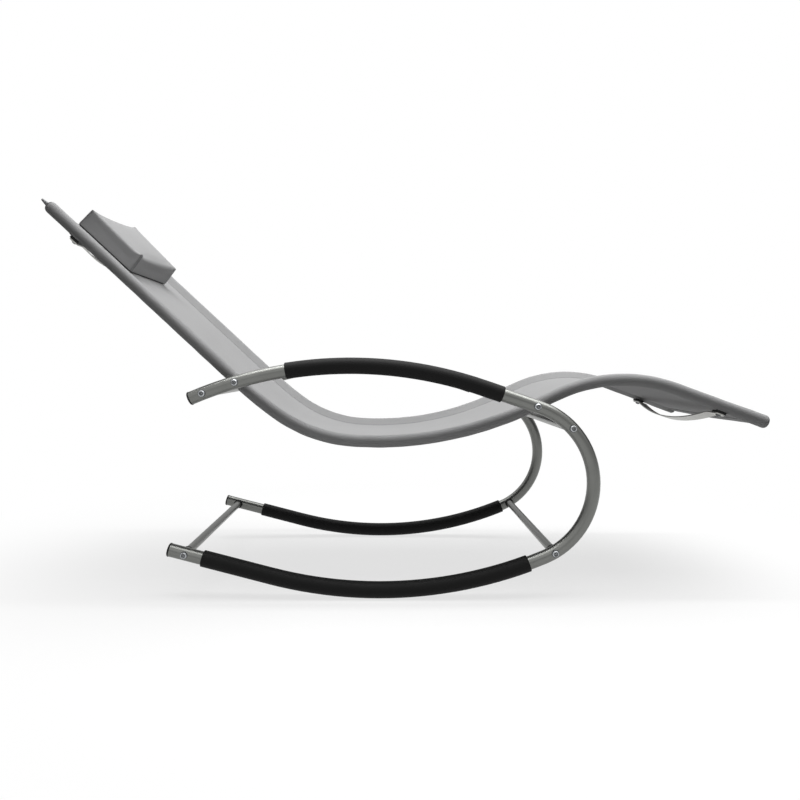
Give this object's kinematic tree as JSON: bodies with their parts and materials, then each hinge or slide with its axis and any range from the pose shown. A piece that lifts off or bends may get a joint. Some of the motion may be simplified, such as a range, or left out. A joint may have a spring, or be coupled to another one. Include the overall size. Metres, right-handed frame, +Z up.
{
  "type": "rocking chaise lounge",
  "caption": "Rocking chaise lounge: a fabric sling on two S-shaped rails, bolted to C-shaped tube sides that are rocker and armrest in one, with a sliding head pillow.",
  "frame": {"origin": "centre of the bounding box in plan, on the floor", "axes": "+X toward the feet, +Y toward the sitter's left, +Z up"},
  "size_m": [1.6489, 0.64, 0.8957],
  "materials": {
    "tube_steel": "satin silver-grey powder coat",
    "foam": "matte closed-cell foam",
    "cap_plastic": "fine moulded texture",
    "plug_plastic": "satin moulded",
    "zinc_steel": "zinc plated, satin",
    "sling_fabric": "woven textilene, matte",
    "pillow_fabric": "woven textilene over filling, matte",
    "tape": "woven tape, matte"
  },
  "bodies": {
    "chair": {"side_frame_right": "tube_steel", "side_frame_left": "tube_steel", "arm_grip_right": "foam", "arm_grip_left": "foam", "runner_sleeve_right": "foam", "runner_sleeve_left": "foam", "runner_end_cap_right": "cap_plastic", "runner_end_cap_left": "cap_plastic", "arm_end_cap_right": "cap_plastic", "arm_end_cap_left": "cap_plastic", "lower_head_crossbar": "tube_steel", "lower_foot_crossbar": "tube_steel", "upper_foot_crossbar": "tube_steel", "upper_head_crossbar": "tube_steel", "crossbar_saddles": "cap_plastic", "crossbar_plugs": "zinc_steel", "crossbar_bolts": "zinc_steel", "crossbar_washers": "zinc_steel", "seat_rail_right": "tube_steel", "seat_rail_left": "tube_steel", "rail_head_plug_right": "plug_plastic", "rail_head_plug_left": "plug_plastic", "rail_foot_plug_right": "plug_plastic", "rail_foot_plug_left": "plug_plastic", "seat_bolts": "zinc_steel", "seat_washers": "zinc_steel", "seat_spacers": "cap_plastic", "seat_rivet_nuts": "zinc_steel", "head_brace": "tube_steel", "foot_brace": "tube_steel", "brace_saddles": "cap_plastic", "brace_screws": "zinc_steel", "brace_rivet_nuts": "zinc_steel", "sling_panel": "sling_fabric", "sling_sleeve_right": "sling_fabric", "sling_sleeve_left": "sling_fabric", "pillow_straps": "tape"},
    "pillow": {"pillow": "pillow_fabric", "pillow_grips": "tape"}
  },
  "joints": [
    {"name": "pillow_slide", "type": "slide", "parent": "chair", "child": "pillow", "axis": [0.733, 0, -0.6802], "range_m": [-0.025, 0.09]}
  ]
}
